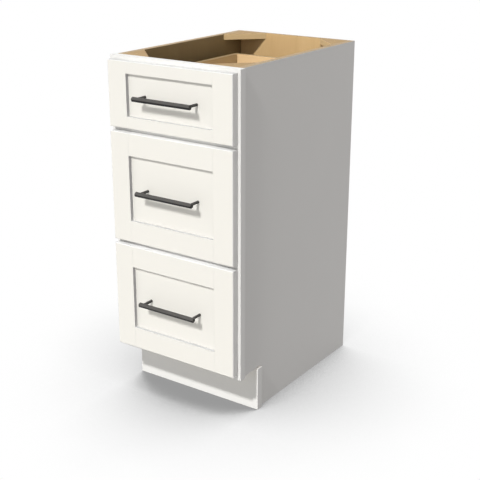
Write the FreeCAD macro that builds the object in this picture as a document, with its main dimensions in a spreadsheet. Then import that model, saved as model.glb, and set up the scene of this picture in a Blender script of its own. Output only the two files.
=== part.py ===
import FreeCAD, Part
import os
from types import SimpleNamespace

import Sketcher

# Narrow base cabinet with three drawers: a face frame on a plywood box, overlay drawer fronts of
# stiles, rails and a panel, bar handles, and ball slides of three nested channels. Millimetres,
# +Z up. Seen from the front, +X is to the right and +Y runs back. Sketches are drawn with y = 0 on
# the face frame's front, and each piece's Placement then brings the origin to the middle of the
# whole cabinet's floor area.

doc = FreeCAD.newDocument("base_cabinet")

SIZES = {
    # case: face frame, sides, toe kick, bottom, back, corner gussets
    "case_wide": 381.0, "case_high": 876.3, "case_deep": 533.4,
    "frame_thick": 19.05, "stile_wide": 38.1, "rail_wide": 38.1,
    "side_inset": 6.35, "side_thick": 15.9, "back_thick": 12.7,
    "toe_high": 114.3, "toe_deep": 76.2, "toe_thick": 19.05,
    "floor_thick": 15.9, "dado_deep": 6.0,
    "gusset_leg": 82.5, "gusset_thick": 15.0, "gusset_hole": 5.0, "gusset_hole_in": 24.0,
    # drawer fronts: they overlay the face frame and share one width
    "front_thick": 19.05, "front_clear": 1.0, "front_reveal": 8.0, "front_space": 11.0,
    "front_stile": 56.0, "front_recess": 9.5, "panel_thick": 6.35, "groove_deep": 10.0,
    "panel_play": 0.5, "front_ease": 1.5,
    "bottom_low": 127.0, "bottom_tall": 278.5, "bottom_rail": 56.0,
    "middle_low": 416.5, "middle_tall": 278.5, "middle_rail": 56.0,
    "top_low": 706.0, "top_tall": 162.0, "top_rail": 29.5,
    # drawer boxes
    "box_wide": 279.4, "box_long": 457.2, "box_wall": 12.7, "rabbet": 6.35,
    "base_thick": 6.35, "base_up": 9.5, "base_groove": 6.0,
    "bottom_box_low": 164.0, "bottom_box_tall": 208.0,
    "middle_box_low": 442.0, "middle_box_tall": 208.0,
    "top_box_low": 730.0, "top_box_tall": 96.0,
    # ball slides and the brackets behind them
    "slide_up": 48.0, "slide_start": 2.0, "gauge": 1.2,
    "outer_long": 457.0, "outer_tall": 45.5, "outer_reach": 10.2, "lip": 3.2,
    "mid_start": 6.0, "mid_long": 430.0, "mid_tall": 38.0, "mid_in": 3.4, "mid_reach": 10.6,
    "inner_start": 3.0, "inner_long": 450.0, "inner_tall": 30.0, "inner_in": 6.4,
    "bracket_long": 100.0, "bracket_tall": 36.0, "bracket_thick": 1.5, "bracket_flange": 15.0,
    # bar handles and their screws
    "bar_dia": 12.0, "bar_long": 170.0, "bar_out": 36.0, "bar_ease": 1.0,
    "post_dia": 7.0, "post_space": 152.4,
    "screw_dia": 4.0, "screw_hole": 4.5, "screw_grip": 8.0, "head_dia": 8.0, "head_high": 2.4,
}
sheet = doc.addObject("Spreadsheet::Sheet", "Sizes")
for row, (word, value) in enumerate(SIZES.items(), start=1):
    sheet.set(f"A{row}", word)
    sheet.set(f"B{row}", str(value))
    sheet.setAlias(f"B{row}", word)
doc.recompute()


class Size:
    """A length that knows its value and the expression that gives it from the sheet."""

    def __init__(self, value, text):
        self.value, self.text = value, text

    @classmethod
    def of(cls, other):
        return other if isinstance(other, cls) else cls(float(other), repr(float(other)))

    def __add__(self, other):
        other = self.of(other)
        return Size(self.value + other.value, f"({self.text} + {other.text})")

    def __mul__(self, factor):
        return Size(self.value * factor, f"({self.text} * {float(factor)})")

    def __neg__(self):
        return self * -1

    def __sub__(self, other):
        return self + -self.of(other)

    def __truediv__(self, factor):
        return self * (1 / factor)


S = SimpleNamespace(**{word: Size(value, f"Sizes.{word}") for word, value in SIZES.items()})
ZERO = Size.of(0)
PLANES = {"XY": ("XY_Plane", 1), "XZ": ("XZ_Plane", -1), "YZ": ("YZ_Plane", 1)}
SIDES = (("left", -1), ("right", 1))

half_case = S.case_wide / 2
opening = half_case - S.stile_wide
side_out = half_case - S.side_inset
side_in = side_out - S.side_thick
rear_face = S.case_deep - S.back_thick
front_back = -S.front_clear
front_face = front_back - S.front_thick
panel_face = front_face + S.front_recess
panel_back = panel_face + S.panel_thick
bar_axis = panel_face - S.bar_out

# The origin lies midway between the cabinet's back and the front of the handle bars.
shift = -(S.case_deep + bar_axis - S.bar_dia / 2) / 2

pieces = []


def piece(label):
    """A new body under its own label, placed from the frame's front to the cabinet's origin."""
    body = doc.addObject("PartDesign::Body", label)
    body.Label = label
    body.AllowCompound = True
    body.setExpression("Placement.Base.y", shift.text)
    pieces.append(body)
    return body


def plane_of(body, plane):
    role, _ = PLANES[plane]
    return next(face for face in body.Origin.OriginFeatures if face.Role == role)


def sketch(body, plane, start, loops):
    """Closed loops on one of the body's planes, moved along that plane's axis to start.
    A loop is a list of corners, or a circle's centre and diameter."""
    drawing = body.newObject("Sketcher::SketchObject", body.Label + "_sketch")
    drawing.AttachmentSupport = [(plane_of(body, plane), "")]
    drawing.MapMode = "FlatFace"
    drawing.setExpression("AttachmentOffset.Base.z", (Size.of(start) * PLANES[plane][1]).text)

    def hold(kind, axis, place, size):
        if abs(size.value) < 1e-9:
            drawing.addConstraint(Sketcher.Constraint("PointOnObject", *place, axis))
            return
        index = drawing.addConstraint(Sketcher.Constraint(kind, -1, 1, *place, size.value))
        drawing.setExpression(f"Constraints[{index}]", size.text)

    for loop in loops:
        if not isinstance(loop, list):
            across, up, dia = (Size.of(part) for part in loop)
            ring = drawing.addGeometry(Part.Circle(
                FreeCAD.Vector(across.value, up.value, 0), FreeCAD.Vector(0, 0, 1), dia.value / 2))
            index = drawing.addConstraint(Sketcher.Constraint("Diameter", ring, dia.value))
            drawing.setExpression(f"Constraints[{index}]", dia.text)
            hold("DistanceX", -2, (ring, 3), across)
            hold("DistanceY", -1, (ring, 3), up)
            continue
        corners = [(Size.of(across), Size.of(up)) for across, up in loop]
        points = [FreeCAD.Vector(across.value, up.value, 0) for across, up in corners]
        lines = [drawing.addGeometry(Part.LineSegment(point, points[(i + 1) % len(points)]))
                 for i, point in enumerate(points)]
        for i, line in enumerate(lines):
            following = lines[(i + 1) % len(lines)]
            drawing.addConstraint(Sketcher.Constraint("Coincident", line, 2, following, 1))
            hold("DistanceX", -2, (line, 1), corners[i][0])
            hold("DistanceY", -1, (line, 1), corners[i][1])
    return drawing


def pad(body, plane, start, length, *loops):
    """Material from start along the plane's axis, over length."""
    feature = body.newObject("PartDesign::Pad", body.Label + "_pad")
    feature.Profile = sketch(body, plane, start, loops)
    feature.setExpression("Length", Size.of(length).text)
    feature.Reversed = plane == "XZ"
    body.Tip = feature
    return feature


def cut(body, plane, start, length, *loops):
    """A pocket from start along the plane's axis, over length. It must take something away."""
    doc.recompute()
    before = body.Shape.Volume
    feature = body.newObject("PartDesign::Pocket", body.Label + "_pocket")
    feature.Profile = sketch(body, plane, start, loops)
    feature.setExpression("Length", Size.of(length).text)
    feature.Reversed = plane != "XZ"
    body.Tip = feature
    doc.recompute()
    if body.Shape.Volume > before - 1e-3:
        raise ValueError(f"{body.Label}: a pocket cuts nothing")
    return feature


def both_sides(body, *features):
    """The same features again on the other side of the cabinet."""
    mirror = body.newObject("PartDesign::Mirrored", body.Label + "_mirror")
    mirror.Originals = list(features)
    mirror.MirrorPlane = (plane_of(body, "YZ"), [""])
    body.Tip = mirror


def box(across_low, across_high, up_low, up_high):
    return [(across_low, up_low), (across_high, up_low), (across_high, up_high),
            (across_low, up_high)]


def from_centre(side, near, far):
    """Where a stretch from near to far of the middle starts on the left or the right."""
    return near if side > 0 else -far


# Face frame: two stiles the full height above the toe kick, and four rails butted between them,
# the middle two behind the spaces between the drawer fronts.
for name, side in SIDES:
    stile = piece(f"{name}_stile")
    pad(stile, "XY", S.toe_high, S.case_high - S.toe_high,
        box(opening * side, half_case * side, ZERO, S.frame_thick))

space_up = S.front_space / 2 - S.rail_wide / 2
for name, low in (("top_rail", S.case_high - S.rail_wide),
                  ("upper_mid_rail", S.middle_low + S.middle_tall + space_up),
                  ("lower_mid_rail", S.bottom_low + S.bottom_tall + space_up),
                  ("bottom_rail", S.toe_high)):
    rail = piece(name)
    pad(rail, "YZ", -opening, opening * 2, box(ZERO, S.frame_thick, low, low + S.rail_wide))

# Case: the sides stand in from the frame's edges and are notched for the toe kick. A dado holds
# the cabinet bottom level with the bottom rail, and a rabbet holds the back.
floor_low = S.toe_high + S.rail_wide - S.floor_thick
notch = S.toe_deep + S.toe_thick
for name, side in SIDES:
    panel = piece(f"{name}_side")
    pad(panel, "YZ", from_centre(side, side_in, side_out), S.side_thick,
        [(S.frame_thick, S.toe_high), (notch, S.toe_high), (notch, ZERO), (S.case_deep, ZERO),
         (S.case_deep, S.case_high), (S.frame_thick, S.case_high)])
    inside = from_centre(side, side_in, side_in + S.dado_deep)
    cut(panel, "YZ", inside, S.dado_deep,
        box(S.frame_thick, rear_face, floor_low, floor_low + S.floor_thick))
    cut(panel, "YZ", inside, S.dado_deep, box(rear_face, S.case_deep, ZERO, S.case_high))

half_floor = side_in + S.dado_deep
floor = piece("cabinet_bottom")
pad(floor, "XY", floor_low, S.floor_thick, box(-half_floor, half_floor, S.frame_thick, rear_face))
back = piece("cabinet_back")
pad(back, "XY", ZERO, S.case_high, box(-half_floor, half_floor, rear_face, S.case_deep))
toe = piece("toe_board")
pad(toe, "XY", ZERO, S.toe_high, box(-half_case, half_case, S.toe_deep, notch))

# Corner gussets: triangles flush with the top, drilled for a screw up into the worktop.
for depth_name, corner, inward in (("front", S.frame_thick, 1), ("rear", rear_face, -1)):
    for name, side in SIDES:
        gusset = piece(f"{depth_name}_{name}_gusset")
        wall = side_in * side
        pad(gusset, "XY", S.case_high - S.gusset_thick, S.gusset_thick,
            [(wall, corner), (wall - S.gusset_leg * side, corner),
             (wall, corner + S.gusset_leg * inward)])
        cut(gusset, "XY", S.case_high - S.gusset_thick, S.gusset_thick,
            (wall - S.gusset_hole_in * side, corner + S.gusset_hole_in * inward, S.gusset_hole))

DRAWERS = {name: SimpleNamespace(
    low=getattr(S, f"{name}_low"), tall=getattr(S, f"{name}_tall"), rail=getattr(S, f"{name}_rail"),
    box_low=getattr(S, f"{name}_box_low"), box_tall=getattr(S, f"{name}_box_tall"))
    for name in ("top", "middle", "bottom")}


# Ball slides: each member is a rolled channel. Depths are taken from the frame opening's edge
# towards the box, where the slide fills the gap.
def channel(web, reach, tall, middle, lip=None):
    """A channel's section: its web stands at web and its flanges end at reach. With a lip, the
    flanges' ends turn in."""
    thick = S.gauge if reach.value > web.value else -S.gauge
    half = tall / 2

    def x(depth):
        return opening - depth

    upper = [(web + thick, half - S.gauge)]
    if lip is None:
        upper += [(reach, half - S.gauge)]
    else:
        upper += [(reach - thick, half - S.gauge), (reach - thick, half - lip), (reach, half - lip)]
    upper += [(reach, half), (web, half)]
    lower = [(depth, -height) for depth, height in reversed(upper)]
    return [(x(depth), middle + height) for depth, height in upper + lower]


middles = {name: drawer.box_low + S.slide_up for name, drawer in DRAWERS.items()}
gap = opening - S.box_wide / 2
outer = piece("slide_cabinet_members")
both_sides(outer, pad(outer, "XZ", S.slide_start, S.outer_long,
                      *(channel(ZERO, S.outer_reach, S.outer_tall, middle, S.lip)
                        for middle in middles.values())))
for name, middle in middles.items():
    member = piece(f"{name}_slide_middle_members")
    both_sides(member, pad(member, "XZ", S.mid_start, S.mid_long,
                           channel(S.mid_in, S.mid_reach, S.mid_tall, middle)))
    member = piece(f"{name}_slide_drawer_members")
    both_sides(member, pad(member, "XZ", S.inner_start, S.inner_long,
                           channel(gap, S.inner_in, S.inner_tall, middle)))

# Rear brackets: bent steel, from the cabinet members' ends to the back panel.
brackets = piece("rear_slide_brackets")
bracket_front = rear_face - S.bracket_long
arm = opening + S.bracket_thick
flange = rear_face - S.bracket_thick
both_sides(brackets, *[
    pad(brackets, "XY", middle - S.bracket_tall / 2, S.bracket_tall,
        [(opening, bracket_front), (arm, bracket_front), (arm, flange),
         (opening + S.bracket_flange, flange), (opening + S.bracket_flange, rear_face),
         (opening, rear_face)])
    for middle in middles.values()])

half_front = half_case - S.front_reveal
front_in = half_front - S.front_stile
groove_end = front_in + S.groove_deep
half_box = S.box_wide / 2
box_in = half_box - S.box_wall
box_rear = front_back + S.box_long

for name, drawer in DRAWERS.items():
    top = drawer.low + drawer.tall
    middle = drawer.low + drawer.tall / 2

    # Drawer front: grooved stiles run the full height, grooved rails are tenoned into them, and a
    # thin panel floats in the groove, set back from the face. The face's outer edges are eased.
    for side_name, side in SIDES:
        stile = piece(f"{name}_front_{side_name}_stile")
        pad(stile, "XY", drawer.low, drawer.tall,
            [(across * side, deep) for across, deep in (
                (half_front - S.front_ease, front_face), (half_front, front_face + S.front_ease),
                (half_front, front_back), (front_in, front_back), (front_in, panel_back),
                (groove_end, panel_back), (groove_end, panel_face), (front_in, panel_face),
                (front_in, front_face))])
        for edge, inward in ((top, -1), (drawer.low, 1)):
            cut(stile, "YZ", from_centre(side, front_in, half_front), S.front_stile,
                [(front_face, edge), (front_face + S.front_ease, edge),
                 (front_face, edge + S.front_ease * inward)])
    for rail_name, edge, inward in (("upper", top, -1), ("lower", drawer.low, 1)):
        rail = piece(f"{name}_front_{rail_name}_rail")
        inner = edge + drawer.rail * inward
        tongue = inner - S.groove_deep * inward
        pad(rail, "YZ", -front_in, front_in * 2,
            [(front_face + S.front_ease, edge), (front_back, edge), (front_back, inner),
             (panel_back, inner), (panel_back, tongue), (panel_face, tongue), (panel_face, inner),
             (front_face, inner), (front_face, edge + S.front_ease * inward)])
        pad(rail, "YZ", -groove_end, groove_end * 2, box(panel_face, panel_back, edge, tongue))
    panel = piece(f"{name}_front_panel")
    half_panel = groove_end - S.panel_play
    panel_cut = drawer.rail - S.groove_deep + S.panel_play
    holes = [(S.post_space / 2 * side, middle, S.screw_hole) for _, side in SIDES]
    pad(panel, "XZ", panel_face, S.panel_thick,
        box(-half_panel, half_panel, drawer.low + panel_cut, top - panel_cut))
    cut(panel, "XZ", panel_face, S.panel_thick, *holes)

    # Drawer box: the sides are rabbeted at both ends for the sub-front and back, and the base
    # slides in a groove, under the back's lower edge.
    box_top = drawer.box_low + drawer.box_tall
    base_low = drawer.box_low + S.base_up
    base_top = base_low + S.base_thick
    for side_name, side in SIDES:
        board = piece(f"{name}_box_{side_name}_side")
        pad(board, "YZ", from_centre(side, box_in, half_box), S.box_wall,
            box(front_back, box_rear, drawer.box_low, box_top))
        for end in (front_back, box_rear - S.box_wall):
            cut(board, "YZ", from_centre(side, box_in, box_in + S.rabbet), S.rabbet,
                box(end, end + S.box_wall, drawer.box_low, box_top))
        cut(board, "YZ", from_centre(side, box_in, box_in + S.base_groove), S.base_groove,
            box(front_back, box_rear, base_low, base_top))
    half_board = box_in + S.rabbet
    board = piece(f"{name}_box_front")
    pad(board, "XZ", front_back, S.box_wall, box(-half_board, half_board, drawer.box_low, box_top))
    cut(board, "XZ", front_back + S.box_wall - S.base_groove, S.base_groove,
        box(-half_board, half_board, base_low, base_top))
    cut(board, "XZ", front_back, S.box_wall, *holes)
    board = piece(f"{name}_box_back")
    pad(board, "XZ", box_rear - S.box_wall, S.box_wall,
        box(-half_board, half_board, base_top, box_top))
    base = piece(f"{name}_box_base")
    half_base = box_in + S.base_groove - S.panel_play
    pad(base, "XY", base_low, S.base_thick,
        box(-half_base, half_base, front_back + S.box_wall - S.base_groove + S.panel_play,
            box_rear))

    # Handle: a round bar on two posts, with a screw into each post from inside the box.
    handle = piece(f"{name}_handle")
    bar = pad(handle, "YZ", -S.bar_long / 2, S.bar_long, (bar_axis, middle, S.bar_dia))
    doc.recompute()
    ends = [f"Edge{i}" for i, edge in enumerate(bar.Shape.Edges, start=1)
            if isinstance(edge.Curve, Part.Circle)]
    ease = handle.newObject("PartDesign::Chamfer", f"{name}_handle_ease")
    ease.Base = (bar, ends)
    ease.setExpression("Size", S.bar_ease.text)
    handle.Tip = ease
    pad(handle, "XZ", bar_axis, S.bar_out,
        *((S.post_space / 2 * side, middle, S.post_dia) for _, side in SIDES))
    cut(handle, "XZ", panel_face - S.screw_grip, S.screw_grip,
        *((S.post_space / 2 * side, middle, S.screw_dia) for _, side in SIDES))
    screws = piece(f"{name}_handle_screws")
    head_face = front_back + S.box_wall
    for start, length, dia in ((panel_face - S.screw_grip,
                                head_face - panel_face + S.screw_grip, S.screw_dia),
                               (head_face, S.head_high, S.head_dia)):
        pad(screws, "XZ", start, length,
            *((S.post_space / 2 * side, middle, dia) for _, side in SIDES))

doc.recompute()
failed = [item.Name for item in doc.Objects if {"Invalid", "Error"} & set(item.State)]
failed += [body.Label for body in pieces if body.Shape.isNull() or not body.Shape.isValid()]
if failed:
    raise ValueError("not built: " + ", ".join(failed))

os.makedirs("parts", exist_ok=True)
for body in pieces:
    body.Shape.exportStep(f"parts/{body.Label}.step")
    print(f"{body.Label}: {len(body.Shape.Solids)} solid(s), {body.Shape.Volume / 1000:.1f} cm3")
print(f"{len(pieces)} nodes")
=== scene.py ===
import math
import bmesh
import bpy
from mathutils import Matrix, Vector


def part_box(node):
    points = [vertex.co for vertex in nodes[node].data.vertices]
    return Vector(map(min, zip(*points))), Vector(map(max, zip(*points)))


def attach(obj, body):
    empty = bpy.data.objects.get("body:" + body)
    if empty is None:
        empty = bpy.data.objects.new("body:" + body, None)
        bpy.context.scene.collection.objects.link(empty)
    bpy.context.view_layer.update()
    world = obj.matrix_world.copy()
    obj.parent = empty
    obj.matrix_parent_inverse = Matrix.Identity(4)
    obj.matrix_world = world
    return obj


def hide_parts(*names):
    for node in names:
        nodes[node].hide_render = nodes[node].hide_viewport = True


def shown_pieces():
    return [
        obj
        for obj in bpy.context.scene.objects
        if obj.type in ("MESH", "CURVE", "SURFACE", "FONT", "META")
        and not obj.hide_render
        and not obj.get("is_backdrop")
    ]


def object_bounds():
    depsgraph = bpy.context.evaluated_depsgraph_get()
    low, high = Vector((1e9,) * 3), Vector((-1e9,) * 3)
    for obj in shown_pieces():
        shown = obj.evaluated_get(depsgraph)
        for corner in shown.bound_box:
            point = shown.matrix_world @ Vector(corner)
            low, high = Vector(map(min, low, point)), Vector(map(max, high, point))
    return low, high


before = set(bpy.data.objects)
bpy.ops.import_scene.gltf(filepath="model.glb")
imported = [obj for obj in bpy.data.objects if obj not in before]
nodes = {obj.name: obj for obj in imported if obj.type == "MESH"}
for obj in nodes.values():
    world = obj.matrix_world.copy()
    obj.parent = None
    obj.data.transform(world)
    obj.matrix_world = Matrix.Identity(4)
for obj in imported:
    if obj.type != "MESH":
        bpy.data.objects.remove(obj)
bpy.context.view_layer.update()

scene = bpy.context.scene


# ---- Camera --------------------------------------------------------------------------------
# Where the picture is taken from: right of the front and a little above worktop height, with a
# long lens. It comes first because every later size is judged through it.
eye = bpy.data.objects.new("eye", bpy.data.cameras.new("eye"))
scene.collection.objects.link(eye)
eye.data.lens, eye.data.sensor_width = 73.31, 36.0
eye.data.clip_start, eye.data.clip_end = 0.05, 60.0
eye.location = (1.40514, -2.00049, 1.24112)
eye.rotation_euler = [math.radians(turn) for turn in (70.4285, -0.0278, 34.6649)]
scene.camera = eye


# ---- Case sides ----------------------------------------------------------------------------
# Two birch plywood panels behind the face frame, notched below for the toe kick and grooved
# inside for the bottom and back. The outer faces are white; the rest is clear-finished wood.
class Reading:
    """One output of a node. Signs between readings and numbers add Math nodes."""

    def __init__(self, wiring, socket):
        self.wiring, self.socket = wiring, socket

    def __getitem__(self, name):
        """Another output of the same node."""
        return Reading(self.wiring, self.socket.node.outputs[name])

    def maths(self, operation, *terms):
        return self.wiring.put("ShaderNodeMath", *terms, settings={"operation": operation})

    def __add__(self, other):
        return self.maths("ADD", self, other)

    def __sub__(self, other):
        return self.maths("SUBTRACT", self, other)

    def __rsub__(self, other):
        return self.maths("SUBTRACT", other, self)

    def __mul__(self, other):
        return self.maths("MULTIPLY", self, other)

    def __truediv__(self, other):
        return self.maths("DIVIDE", self, other)

    def __gt__(self, other):
        return self.maths("GREATER_THAN", self, other)

    def __lt__(self, other):
        return self.maths("LESS_THAN", self, other)

    def __abs__(self):
        return self.maths("ABSOLUTE", self)

    def sine(self):
        return self.maths("SINE", self)

    def held(self):
        """Kept between 0 and 1."""
        return self.wiring.put("ShaderNodeClamp", self)

    __radd__, __rmul__ = __add__, __mul__


class Wiring:
    """A node tree, filled one node at a time."""

    def __init__(self, tree):
        self.tree = tree
        tree.nodes.clear()

    def put(self, kind, *values, settings=None, **named):
        """Adds a node: its settings, then its sockets in order or by name, with _ for a space. A
        reading is linked, a list of readings shares one socket, and the rest are plain values.
        Gives the node's first output."""
        node = self.tree.nodes.new(kind)
        for word, value in (settings or {}).items():
            if word != "stops":
                setattr(node, word, value)
                continue
            stops = node.color_ramp.elements
            stops[0].position, stops[1].position = value[0][0], value[-1][0]
            for place, _ in value[1:-1]:
                stops.new(place)
            for stop, (_, colour) in zip(stops, value):
                stop.color = (*colour, 1.0)
        sockets = [socket for socket in node.inputs if socket.enabled]
        by_name = {socket.name.replace(" ", "_"): socket for socket in reversed(sockets)}
        filled = [*zip(sockets, values), *((by_name[name], named[name]) for name in named)]
        for socket, value in filled:
            for one in value if isinstance(value, list) else [value]:
                if isinstance(one, Reading):
                    self.tree.links.new(one.socket, socket)
                elif socket.type == "RGBA":
                    socket.default_value = (*one, 1.0)
                else:
                    socket.default_value = one
        return Reading(self, next((out for out in node.outputs if out.enabled), None))

    def blend(self, share, first, second):
        """A colour between two, by a share from 0 to 1."""
        return self.put("ShaderNodeMix", share, first, second, settings={"data_type": "RGBA"})


class Finish(Wiring):
    """A material, built node by node."""

    ALONG_GRAIN = 0.045  # how fine the wood's pattern is along the grain, against 1 across it
    PLY = 0.0013  # metres; every second ply is the deeper one
    DEEP_PLY = 0.74
    # Painted shade: this colour is mixed into wood that faces up to darken it.
    UPPER_PAINTED_SHADE = (0.17, 0.08, 0.0)  # mixed into wood that faces up, to fit the picture's edges

    def __init__(self, name):
        self.material = bpy.data.materials.new(name)
        self.material.use_nodes = True
        super().__init__(self.material.node_tree)

    def noise(self, size, detail=3.0, rough=0.5, stretch=(1, 1, 1)):
        """Soft random patches, that many to a metre. A stretch below 1 draws them out along that
        axis."""
        spot = self.put("ShaderNodeMapping", self.put("ShaderNodeTexCoord")["Object"],
                        Scale=stretch)
        return self.put("ShaderNodeTexNoise", spot, Scale=size, Detail=detail, Roughness=rough)

    def axis(self, name, kind="Object"):
        """The place on the piece, or the way its surface faces, along X, Y or Z."""
        return self.put("ShaderNodeSeparateXYZ", self.put("ShaderNodeTexCoord")[kind])[name]

    def worn_edge(self, width):
        """0 on open faces, rising along edges over the given width, and the rounded normal."""
        full_wear = 0.2  # what the two normals' dot product has lost where an edge is worn through
        rounded = self.put("ShaderNodeBevel", width, settings={"samples": 5})
        flat = self.put("ShaderNodeNewGeometry")["Normal"]
        lean = self.put("ShaderNodeVectorMath", rounded, flat,
                        settings={"operation": "DOT_PRODUCT"})["Value"]
        return ((1 - lean) * (1 / full_wear)).held(), rounded

    def relief(self, height, normal, strength, depth=0.0003):
        """A normal roughened by a pattern of heights, over a depth in metres."""
        return self.put("ShaderNodeBump", Strength=strength, Distance=depth, Height=height,
                        Normal=normal)

    def show(self, colour, bounce=(0.2, 0.2, 0.2), **surface):
        """Ends the material in one Principled shader. Light on its way to another surface finds
        the bounce colour in place of the real one. It is fitted to the corners, gaps and insides
        in the picture."""
        # Painted shade and light: a bounce darker than the colour keeps corners, gaps and insides
        # dark, a paler one brightens them.
        bounced = self.put("ShaderNodeLightPath")["Is Diffuse Ray"]
        shader = self.put("ShaderNodeBsdfPrincipled", **surface,
                          Base_Color=self.blend(bounced, colour, bounce))
        self.put("ShaderNodeOutputMaterial", shader)
        return self.material

    def plywood(self, along, across, pale, deep, edge):
        """Birch veneer with its grain along one axis, and plies on the edges of its thickness.
        Faces that look up are darker than the rest, a painted shade. Also gives the fibre, for
        relief."""
        grain = tuple(self.ALONG_GRAIN if axis == along else 1 for axis in "XYZ")
        figure = self.noise(24.0, stretch=grain)
        fibre = self.noise(420.0, 4.0, 0.65, stretch=grain)
        cloud = self.noise(3.0, 2.0)
        share = 0.45  # of the deeper colour, before the patterns shift it
        for pattern, weight in ((figure, 1.3), (fibre, 0.8), (cloud, 0.7)):
            share += (pattern - 0.5) * weight
        veneer = self.blend(share.held(), pale, deep)
        layer = (self.axis(across) * (math.pi / self.PLY)).sine() * 0.5 + 0.5
        plies = self.blend(layer, edge, tuple(part * self.DEEP_PLY for part in edge))
        on_edge = abs(self.axis(across, "Normal")) < 0.5
        upward_painted_shade = self.axis("Z", "Normal") > 0.5
        faces = self.blend(on_edge, veneer, plies)
        return self.blend(upward_painted_shade * 0.45, faces, self.UPPER_PAINTED_SHADE), fibre

    def white(self, tint):
        """Sprayed satin white: a colour that barely clouds, and its orange peel, for relief."""
        thinnest = 0.97
        paint = self.blend(self.noise(5.0), tuple(part * thinnest for part in tint), tint)
        return paint, self.noise(650.0, 2.0)


def give(material, *names):
    """Puts a material on CAD pieces."""
    for name in names:
        nodes[name].data.materials.clear()
        nodes[name].data.materials.append(material)


SAWN = (0.82, 0.61, 0.36)
# The inner veneer is written darker than birch, to fit the shade inside the picture's cabinet.
INNER_PALE, INNER_DEEP = (0.35, 0.245, 0.115), (0.30, 0.20, 0.09)
# Painted shade: the white for faces that look sideways is greyer than the paint on the fronts.
SIDEWAYS_SHADED_WHITE, WORN_HIGHLIGHT_WHITE = (0.797, 0.778, 0.760), (0.93, 0.92, 0.88)
WOOD_BOUNCE = (0.56, 0.46, 0.32)
PAINT_DEPTH = 0.0004
side = Finish("side panel")
wood, fibre = side.plywood("Z", "X", INNER_PALE, INNER_DEEP, SAWN)
skin, peel = side.white(SIDEWAYS_SHADED_WHITE)
outside = abs(side.axis("X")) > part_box("right_side")[1].x - PAINT_DEPTH
# The edges are paler, partly from wear and partly as a painted highlight.
edge, rounded = side.worn_edge(0.0008)
height = side.put("ShaderNodeMix", outside, fibre, peel * 0.25)
give(side.show(side.blend(edge * 0.35, side.blend(outside, wood, skin), WORN_HIGHLIGHT_WHITE),
               bounce=WOOD_BOUNCE, Roughness=0.5 - outside * 0.08, Specular_IOR_Level=0.3,
               Normal=side.relief(height, rounded, 0.12)),
     "left_side", "right_side")


# ---- Cabinet bottom and back ---------------------------------------------------------------
# Birch plywood again: the bottom is let into dados in the sides, level with the bottom rail, and
# the back closes the case from the floor to the top, let into rabbets.
PALE, DEEP = (0.76, 0.53, 0.265), (0.66, 0.43, 0.200)


def clear_wood(name, along, across, pieces, pale=PALE, deep=DEEP, plies=SAWN, reach=0.0008,
               grain=0.12, bounce=WOOD_BOUNCE, **surface):
    """Clear-finished plywood, with its edges eased and a little paler over a short reach."""
    board = Finish(name)
    veneer, fibre = board.plywood(along, across, pale, deep, plies)
    edge, rounded = board.worn_edge(reach)
    give(board.show(board.blend(edge * 0.3, veneer, SAWN), bounce=bounce,
                    Normal=board.relief(fibre, rounded, grain), **surface), *pieces)


for name, along, across in (("cabinet_bottom", "Y", "Z"), ("cabinet_back", "Z", "Y")):
    clear_wood(name.replace("_", " "), along, across, [name], Roughness=0.5,
               Specular_IOR_Level=0.2)


# ---- Face frame and toe board --------------------------------------------------------------
# Maple stiles and rails butted and glued into one frame in front of the case, and the board that
# closes the toe kick, all sprayed in a warm satin white that is a little thin on the arrises. The
# paler arrises are also a painted highlight, faces that look up get painted light and faces that
# look sideways painted shade.
# The top white is painted light for faces that look up; the arris white is wear and a painted
# highlight.
FRAME_WHITE, TOP_PAINTED_LIGHT = (0.880, 0.868, 0.835), (0.98, 0.975, 0.955)
ARRIS_WORN_HIGHLIGHT = (0.96, 0.95, 0.92)


def sprayed(name, tint, reach, bounce):
    """Satin white paint, paler at the arrises over a short reach for wear and as a painted
    highlight. To fit the picture it is cooler and greyer to the sides, a painted shade, and whiter
    above, a painted light. The bounce is a grey."""
    coat = Finish(name)
    paint, peel = coat.white(tint)
    # Painted shade on faces that look sideways, painted light on faces that look up.
    paint = coat.blend(abs(coat.axis("X", "Normal")) > 0.7, paint, SIDEWAYS_SHADED_WHITE)
    paint = coat.blend(coat.axis("Z", "Normal") > 0.5, paint, TOP_PAINTED_LIGHT)
    edge, rounded = coat.worn_edge(reach)
    return coat.show(coat.blend(edge * 0.5, paint, ARRIS_WORN_HIGHLIGHT), bounce=(bounce,) * 3,
                     Roughness=0.42 - edge * 0.08,
                     Normal=coat.relief(peel, rounded, 0.05, depth=0.0002))


give(sprayed("painted frame stiles", FRAME_WHITE, 0.0009, 0.50), "left_stile", "right_stile")
give(sprayed("painted frame rails", FRAME_WHITE, 0.0009, 0.95),
     "top_rail", "upper_mid_rail", "lower_mid_rail", "bottom_rail", "toe_board")


# ---- Corner gussets ------------------------------------------------------------------------
# Four plywood triangles glued flush into the corners of the top. A worktop is screwed down
# through the hole in each.
GUSSET_PLIES = (0.86, 0.62, 0.33)
clear_wood("gusset", "X", "Z",
           [f"{depth}_{hand}_gusset" for depth in ("front", "rear") for hand in ("left", "right")],
           plies=GUSSET_PLIES, grain=0.15, Roughness=0.55, Specular_IOR_Level=0.2)


# ---- Ball slides and their rear brackets ---------------------------------------------------
# Each drawer runs on two full-extension slides of three rolled channels, zinc-plated steel. Bent
# brackets carry the cabinet members' rear ends from the back panel.
LEVELS = ("top", "middle", "bottom")
DRAWN, PLAIN = (1, 0.02, 1), (1, 1, 1)
RUBBED_STEEL = (0.78, 0.78, 0.77)


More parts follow.
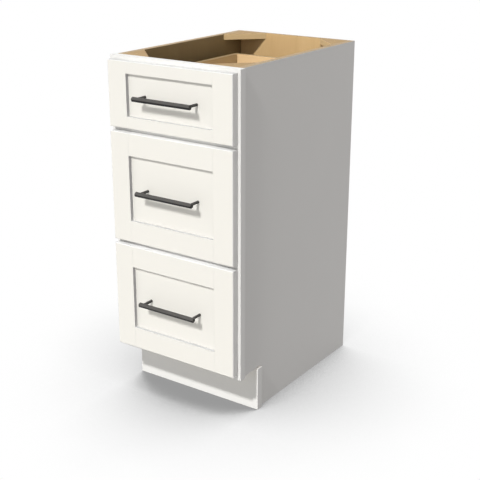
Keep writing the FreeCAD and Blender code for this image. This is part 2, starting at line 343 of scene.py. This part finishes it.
def plated(name, pale, deep, way):
    """Zinc plate over steel that is drawn lengthwise or plain, bright where edges rub."""
    metal = Finish(name)
    rolled = metal.noise(700.0, rough=0.6, stretch=way)
    bloom = metal.noise(45.0, 4.0, 0.6)
    edge, rounded = metal.worn_edge(0.0005)
    return metal.show(metal.blend(edge * 0.6, metal.blend(bloom, deep, pale), RUBBED_STEEL),
                      Metallic=1.0, Roughness=0.26 + rolled * 0.16,
                      Normal=metal.relief(rolled, rounded, 0.06, depth=0.0002))


give(plated("rolled zinc steel", (0.58, 0.585, 0.59), (0.43, 0.445, 0.46), DRAWN),
     "slide_cabinet_members", "rear_slide_brackets",
     *(f"{level}_slide_{part}_members" for level in LEVELS for part in ("middle", "drawer")))


# ---- Ball cages ----------------------------------------------------------------------------
# Between the channels run bent steel strips that hold the balls in two rows, above and below. One
# pair stays in the cabinet members, the other travels in the middle members.
class Maker(Wiring):
    """A Geometry Nodes tree with named inputs, for what repeats."""

    KINDS = {"Places": "NodeSocketGeometry", "Finish": "NodeSocketMaterial",
             "Seed": "NodeSocketInt"}

    def __init__(self, name, *inputs):
        super().__init__(bpy.data.node_groups.new(name, "GeometryNodeTree"))
        for word in ("Places", *inputs, "Finish"):
            self.tree.interface.new_socket(
                word, in_out="INPUT", socket_type=self.KINDS.get(word, "NodeSocketFloat"))
        self.tree.interface.new_socket("Made", in_out="OUTPUT", socket_type="NodeSocketGeometry")
        self.given = self.put("NodeGroupInput")

    def end(self, instances):
        """Turns the instances into real faces with the finish given."""
        real = self.put("GeometryNodeRealizeInstances", instances)
        done = self.put("GeometryNodeSetMaterial", real, Material=self.given["Finish"])
        self.put("NodeGroupOutput", done)

    def make(self, name, body, slot, places, **values):
        """Runs the tree on a mesh of places: one plain piece that rides on a body."""
        source = bpy.data.objects.new(name, places)
        scene.collection.objects.link(source)
        modifier = source.modifiers.new("making", "NODES")
        modifier.node_group = self.tree
        for socket in self.tree.interface.items_tree:
            if socket.in_out == "INPUT" and socket.name.replace(" ", "_") in values:
                modifier[socket.identifier] = values[socket.name.replace(" ", "_")]
        seen = source.evaluated_get(bpy.context.evaluated_depsgraph_get())
        mesh = bpy.data.meshes.new_from_object(seen)
        bpy.data.objects.remove(source)
        piece = bpy.data.objects.new(name, mesh)
        scene.collection.objects.link(piece)
        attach(piece, body)
        return piece


balls = Maker("balls in rows", "Pitch", "Ball Width")
row = balls.put("GeometryNodeMeshToCurve", balls.given["Places"])
spots = balls.put("GeometryNodeResampleCurve", row, Length=balls.given["Pitch"],
                  settings={"mode": "LENGTH"})
ball = balls.put("GeometryNodeMeshUVSphere", Segments=8, Rings=6,
                 Radius=balls.given["Ball Width"] * 0.5)
balls.end(balls.put("GeometryNodeInstanceOnPoints", spots,
                    Instance=balls.put("GeometryNodeSetShadeSmooth", ball)))

GAUGE = 0.0006
BALL_PITCH, END_BALL = 0.0165, 0.004
members_low, members_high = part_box("slide_cabinet_members")
opening, slide_front, slide_back = members_high.x, members_low.y, members_high.y
# Depths are measured in from the frame opening, heights from the slide's middle line, and start
# from the slide's front end.
CAGES = {"outer": {"web": 0.0020, "reach": 0.0086, "half": 0.0206, "ball": 0.0024,
                   "ball_in": 0.0070, "ball_up": 0.02027, "start": 0.000, "long": 0.212},
         "inner": {"web": 0.0052, "reach": 0.0100, "half": 0.0167, "ball": 0.0026,
                   "ball_in": 0.0085, "ball_up": 0.0164, "start": 0.004, "long": 0.226}}
ball_steel = plated("bright ball steel", (0.82, 0.82, 0.82), (0.72, 0.72, 0.73), PLAIN)
cage_steel = plated("cage strip steel", (0.60, 0.60, 0.59), (0.46, 0.465, 0.47), DRAWN)


def cage(name, body, middles, web, reach, half, ball, ball_in, ball_up, start, long):
    """Both hands of a cage at each height: the bent strips in one piece, the balls in another."""
    strips, rows = bmesh.new(), bmesh.new()
    outline = [(web, half), (reach, half), (reach, half - GAUGE), (web + GAUGE, half - GAUGE)]
    outline += [(deep, -up) for deep, up in reversed(outline)]
    ends = (slide_front + start, slide_front + start + long)
    for hand in (1, -1):
        for middle in middles:
            rings = [[strips.verts.new((hand * (opening - deep), place, middle + up))
                      for deep, up in outline] for place in ends]
            for ring in rings:
                strips.faces.new(ring)
            for i, corner in enumerate(rings[0]):
                strips.faces.new((rings[0][i - 1], corner, rings[1][i], rings[1][i - 1]))
            for up in (ball_up, -ball_up):
                across = hand * (opening - ball_in)
                rows.edges.new([rows.verts.new((across, place, middle + up))
                                for place in (ends[0] + END_BALL, ends[1] - END_BALL)])
    bmesh.ops.recalc_face_normals(strips, faces=strips.faces)
    strip_mesh, row_mesh = bpy.data.meshes.new(name), bpy.data.meshes.new(name)
    strips.to_mesh(strip_mesh)
    rows.to_mesh(row_mesh)
    strip_mesh.materials.append(cage_steel)
    strip = bpy.data.objects.new(f"{name}_strips", strip_mesh)
    scene.collection.objects.link(strip)
    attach(strip, body)
    balls.make(f"{name}_balls", body, "slide_steel", row_mesh, Pitch=BALL_PITCH, Ball_Width=ball,
               Finish=ball_steel)


middles = {}
for level in LEVELS:
    low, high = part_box(f"{level}_slide_drawer_members")
    middles[level] = (low.z + high.z) / 2
    cage(f"{level}_inner_cages", f"{level}_slide_middle", [middles[level]], **CAGES["inner"])
cage("outer_cages", "carcass", middles.values(), **CAGES["outer"])


# ---- Slide and bracket screws --------------------------------------------------------------
# Zinc screws with a cross recess: flat heads hold the cabinet members to the stiles and brackets,
# pan heads hold the drawer members to the boxes and the brackets to the back panel.
screws = Maker("cross-head screws", "Head Width", "Head Height", "Crown", "Recess", "Shank Width",
               "Shank Length", "Seed")
given = screws.given
radius = given["Head Width"] * 0.5
blank = screws.put("GeometryNodeMeshCylinder", Vertices=24, Side_Segments=1, Fill_Segments=4,
                   Radius=radius, Depth=given["Head Height"],
                   settings={"fill_type": "TRIANGLE_FAN"})
spot = screws.put("ShaderNodeSeparateXYZ", screws.put("GeometryNodeInputPosition"))
outward = (spot["X"] * spot["X"] + spot["Y"] * spot["Y"]) / (radius * radius)
fall = screws.put("ShaderNodeCombineXYZ", 0.0, 0.0, outward * given["Crown"] * -1)
domed = screws.put("GeometryNodeSetPosition", blank, spot["Z"] > 0, Offset=fall)
raised = screws.put("ShaderNodeCombineXYZ", 0.0, 0.0, given["Head Height"] * 0.5)
CROSS_LONG, CROSS_THIN = 0.55, 0.12  # of the head's width
long, thin = given["Head Width"] * CROSS_LONG, given["Head Width"] * CROSS_THIN
bars = [screws.put("GeometryNodeTransform", screws.put(
    "GeometryNodeMeshCube", screws.put("ShaderNodeCombineXYZ", *sizes)), raised)
        for sizes in ((long, thin, given["Recess"]), (thin, long, given["Recess"]))]
head = screws.put("GeometryNodeMeshBoolean", domed, bars,
                  settings={"operation": "DIFFERENCE", "solver": "EXACT"})
seated = screws.put("GeometryNodeTransform", head, raised)
LAP = 0.0002  # how far the shank reaches into the head
shank = screws.put("GeometryNodeMeshCylinder", Vertices=12, Side_Segments=1, Fill_Segments=1,
                   Radius=given["Shank Width"] * 0.5, Depth=given["Shank Length"] + LAP)
shank = screws.put("GeometryNodeTransform", shank, screws.put(
    "ShaderNodeCombineXYZ", 0.0, 0.0, (given["Shank Length"] - LAP) * -0.5))
whole = screws.put("GeometryNodeMeshBoolean", [seated, shank],
                   settings={"operation": "UNION", "solver": "EXACT"})
facing = screws.put("GeometryNodeInputNamedAttribute", "facing",
                    settings={"data_type": "FLOAT_VECTOR"})
stood = screws.put("GeometryNodeInstanceOnPoints", given["Places"], Instance=whole,
                   Rotation=screws.put("FunctionNodeAlignRotationToVector", Vector=facing,
                                       settings={"axis": "Z"}))
turn = screws.put("FunctionNodeRandomValue", Min=0.0, Max=math.pi / 2, Seed=given["Seed"],
                  settings={"data_type": "FLOAT"})
screws.end(screws.put("GeometryNodeRotateInstances", stood,
                      Rotation=screws.put("ShaderNodeCombineXYZ", 0.0, 0.0, turn)))


def seats(places):
    """A mesh of loose points, each with the way that its screw faces."""
    mesh = bpy.data.meshes.new("seats")
    mesh.from_pydata([place for place, _ in places], [], [])
    ways = mesh.attributes.new("facing", "FLOAT_VECTOR", "POINT")
    for item, (_, way) in zip(ways.data, places):
        item.vector = way
    return mesh


screw_steel = plated("screw steel", (0.74, 0.735, 0.70), (0.60, 0.60, 0.585), PLAIN)
FLAT_HEAD = {"Head_Width": 0.0070, "Head_Height": 0.0006, "Crown": 0.0002, "Recess": 0.0006,
             "Shank_Width": 0.0034, "Shank_Length": 0.012}
PAN_HEAD = {"Head_Width": 0.0064, "Head_Height": 0.0015, "Crown": 0.0006, "Recess": 0.0016,
            "Shank_Width": 0.0034, "Shank_Length": 0.010}
MEMBER_WEB = 0.0012
FRONT_SCREW, REAR_SCREW = 0.008, 0.014
flats = [((hand * (opening - MEMBER_WEB), place, middle), (-hand, 0, 0))
         for hand in (1, -1) for middle in middles.values()
         for place in (slide_front + FRONT_SCREW, slide_back - REAR_SCREW)]
screws.make("cabinet_member_screws", "carcass", "screw_steel", seats(flats), Seed=1,
            Finish=screw_steel, **FLAT_HEAD)
FLANGE_IN, FLANGE_GAUGE, FLANGE_UP = 0.0065, 0.0015, 0.009
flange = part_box("rear_slide_brackets")[1]
pans = [((hand * (flange.x - FLANGE_IN), flange.y - FLANGE_GAUGE, middle + up), (0, -1, 0))
        for hand in (1, -1) for middle in middles.values() for up in (FLANGE_UP, -FLANGE_UP)]
screws.make("bracket_screws", "carcass", "screw_steel", seats(pans), Seed=2,
            Finish=screw_steel, **PAN_HEAD)
DRAWER_SCREWS = (0.038, 0.228, 0.418)
for level, middle in middles.items():
    box_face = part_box(f"{level}_box_right_side")[1].x
    pans = [((hand * (box_face + MEMBER_WEB), slide_front + run, middle), (hand, 0, 0))
            for hand in (1, -1) for run in DRAWER_SCREWS]
    screws.make(f"{level}_drawer_member_screws", f"{level}_drawer", "screw_steel", seats(pans),
                Seed=3, Finish=screw_steel, **PAN_HEAD)


# ---- Drawer boxes --------------------------------------------------------------------------
# Half-inch birch plywood: rabbeted sides hold the sub-front and the back, and the thin base
# slides into grooves from behind. Clear-finished, with the plies showing along the top edges.
# Written brighter than the case's birch as painted light, to fit the box that the picture shows.
BOX_LIT_PALE, BOX_LIT_DEEP, BOX_BOUNCE = (0.965, 0.685, 0.385), (0.875, 0.59, 0.305), (0.36, 0.30, 0.20)
for along, across, parts in (("Y", "X", ("left_side", "right_side")),
                             ("X", "Y", ("front", "back")), ("Y", "Z", ("base",))):
    clear_wood(f"drawer box {parts[-1].replace('_', ' ')}", along, across,
               [f"{level}_box_{part}" for level in LEVELS for part in parts],
               pale=BOX_LIT_PALE, deep=BOX_LIT_DEEP, reach=0.001, grain=0.1, bounce=BOX_BOUNCE,
               Roughness=0.45, Specular_IOR_Level=0.3, Coat_Weight=0.1)


# ---- Drawer fronts -------------------------------------------------------------------------
# Frame-and-panel fronts: tenoned maple stiles and rails round a thin flat panel that sits well
# back from the face, sprayed after assembly in a white a touch warmer than the face frame's.
WARM_WHITE = (0.885, 0.860, 0.795)
# The last number is the bounce grey: low for painted shade in the recess, high for painted light
# in the gaps.
for parts, reach, bounce in ((("left_stile", "right_stile"), 0.0011, 0.70),
                             (("upper_rail", "lower_rail"), 0.0018, 0.95),
                             (("panel",), 0.0011, 0.12)):
    give(sprayed(f"painted front {parts[-1].replace('_', ' ')}", WARM_WHITE, reach, bounce),
         *(f"{level}_front_{part}" for level in LEVELS for part in parts))


# ---- Bar handles and their screws ----------------------------------------------------------
# A turned steel bar on two posts in a dark satin finish, paler above and in front as painted
# light and near black beneath as painted shade. A truss-head machine screw into each post draws it
# tight from inside.
UNDERSIDE_PAINTED_SHADE, WORN_DARK = (0.006, 0.006, 0.006), (0.16, 0.15, 0.14)
dark = Finish("dark handle metal")
polish = dark.noise(900.0, rough=0.6, stretch=(0.02, 1, 1))
edge, rounded = dark.worn_edge(0.0006)
# Painted light and shade: paler where the bar's faces look up and forward, near black where they
# look down.
painted_light_share = dark.put("ShaderNodeMapRange", dark.axis("Z", "Normal"), From_Min=-0.12, From_Max=0.16)
painted_light_tone = dark.blend(dark.noise(60.0), (0.085, 0.080, 0.075), (0.105, 0.100, 0.095))
coat = dark.blend(painted_light_share, UNDERSIDE_PAINTED_SHADE, painted_light_tone)
give(dark.show(dark.blend(edge * 0.35, coat, WORN_DARK), Metallic=0.1, Specular_IOR_Level=0.25,
               Roughness=0.42 + polish * 0.12,
               Normal=dark.relief(polish, rounded, 0.04, depth=0.0002)),
     *(f"{level}_handle" for level in LEVELS))

TRUSS_HEAD = {"Head_Width": 0.0080, "Head_Height": 0.0024, "Crown": 0.0015, "Recess": 0.0030,
              "Shank_Width": 0.0040}
for level in LEVELS:
    low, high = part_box(f"{level}_handle_screws")
    head_face = high.y - TRUSS_HEAD["Head_Height"]
    across, up = high.x - TRUSS_HEAD["Head_Width"] / 2, (low.z + high.z) / 2
    pair = screws.make(f"{level}_truss_screws", f"{level}_drawer", "screw_steel",
                       seats([((hand * across, head_face, up), (0, 1, 0)) for hand in (1, -1)]),
                       Shank_Length=head_face - low.y, Seed=4, Finish=screw_steel, **TRUSS_HEAD)
    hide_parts(f"{level}_handle_screws")


# ---- Studio --------------------------------------------------------------------------------
# A plain pale floor that runs out to white under the cabinet's soft shadow, hard light from high
# in front, and soft light from all round that fades overhead and to the right.
def in_view(wiring):
    """1 for what the camera sees, also in a reflection or through glass, and 0 for what only
    lights the cabinet."""
    sight = wiring.put("ShaderNodeLightPath")
    return (sight["Is Camera Ray"] + sight["Is Glossy Ray"] + sight["Is Transmission Ray"]).held()


FLOOR_WIDTH, FLOOR_CLEARANCE = 40.0, 0.0005
FLOOR_LIGHT, FLOOR_GLOW = (1.0, 0.995, 0.98), 0.50
SHADOW_REACH = 0.7
# How open the air over a spot of floor is, and the grey that shows there, fitted to the picture's
# shadow. The lamps cast none on the floor.
SHADOW = ((0.38, 0.322), (0.46, 0.350), (0.51, 0.47), (0.55, 0.66), (0.64, 0.745), (0.72, 0.86),
          (0.80, 0.92), (0.88, 1.0))
bpy.ops.mesh.primitive_plane_add(size=FLOOR_WIDTH, location=(0, 0, -FLOOR_CLEARANCE))
floor = bpy.context.object
floor.name = "studio_floor"
floor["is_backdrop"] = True
ground = Finish("studio floor")
pale = ground.put("ShaderNodeEmission", FLOOR_LIGHT, FLOOR_GLOW)
open_air = ground.put("ShaderNodeAmbientOcclusion", Distance=SHADOW_REACH,
                      settings={"samples": 16})["AO"]
shade = ground.put("ShaderNodeValToRGB", open_air,
                   settings={"stops": [(place, (grey,) * 3) for place, grey in SHADOW]})
white = ground.put("ShaderNodeEmission", shade, 1.0)
ground.put("ShaderNodeOutputMaterial",
           ground.put("ShaderNodeMixShader", in_view(ground), pale, white))
floor.data.materials.append(ground.material)

LEVEL_GLOW, LESS_RIGHT, LESS_BEHIND = 0.895, 0.23, 0.03
room = bpy.data.worlds.new("room")
scene.world = room
room.use_nodes = True
air = Wiring(room.node_tree)
way = air.put("ShaderNodeSeparateXYZ", air.put("ShaderNodeTexCoord")["Generated"])
glow = (LEVEL_GLOW - way["X"] * LESS_RIGHT - way["Y"] * LESS_BEHIND - way["Z"]).held()
air.put("ShaderNodeOutputWorld",
        air.put("ShaderNodeBackground", (1, 1, 1),
                air.put("ShaderNodeMix", in_view(air), glow, 1.0)))

LAMP_STRENGTH, LAMP_RIGHT = 1.77, 0.06
# Each group by how its pieces' names start, the slope of its light, and its softness in degrees.
# The last group is all that is left.
LAMPS = {"top drawer": (("top_front", "top_handle"), 0.80, 8.0),
         "middle drawer": (("middle_front", "middle_handle"), 0.84, 8.0),
         "bottom drawer": (("bottom_front", "bottom_handle"), 0.88, 8.0),
         "toe board": (("toe_board",), 1.12, 3.0),
         "rest": (("",), 1.20, 3.0)}


def lamp(name, slope, spread, pieces):
    """The lamp as a group of pieces gets it. It stands steeper over the lower ones, and each group
    has its own slope and softness, with the same light on what faces the front."""
    key = bpy.data.objects.new(name, bpy.data.lights.new(name, "SUN"))
    key.data.energy = LAMP_STRENGTH * math.hypot(1.0, slope)
    key.data.angle = math.radians(spread)
    key.rotation_euler = Vector((LAMP_RIGHT, -1.0, slope)).to_track_quat("Z", "Y").to_euler()
    scene.collection.objects.link(key)
    lit = bpy.data.collections.new(name)
    for piece in pieces:
        lit.objects.link(piece)
    key.light_linking.receiver_collection = lit


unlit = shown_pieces()
for name, (starts, slope, spread) in LAMPS.items():
    lamp(f"lamp on {name}", slope, spread,
         [piece for piece in unlit if piece.name.startswith(starts)])
    unlit = [piece for piece in unlit if not piece.name.startswith(starts)]

scene.view_settings.view_transform = "Standard"
low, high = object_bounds()
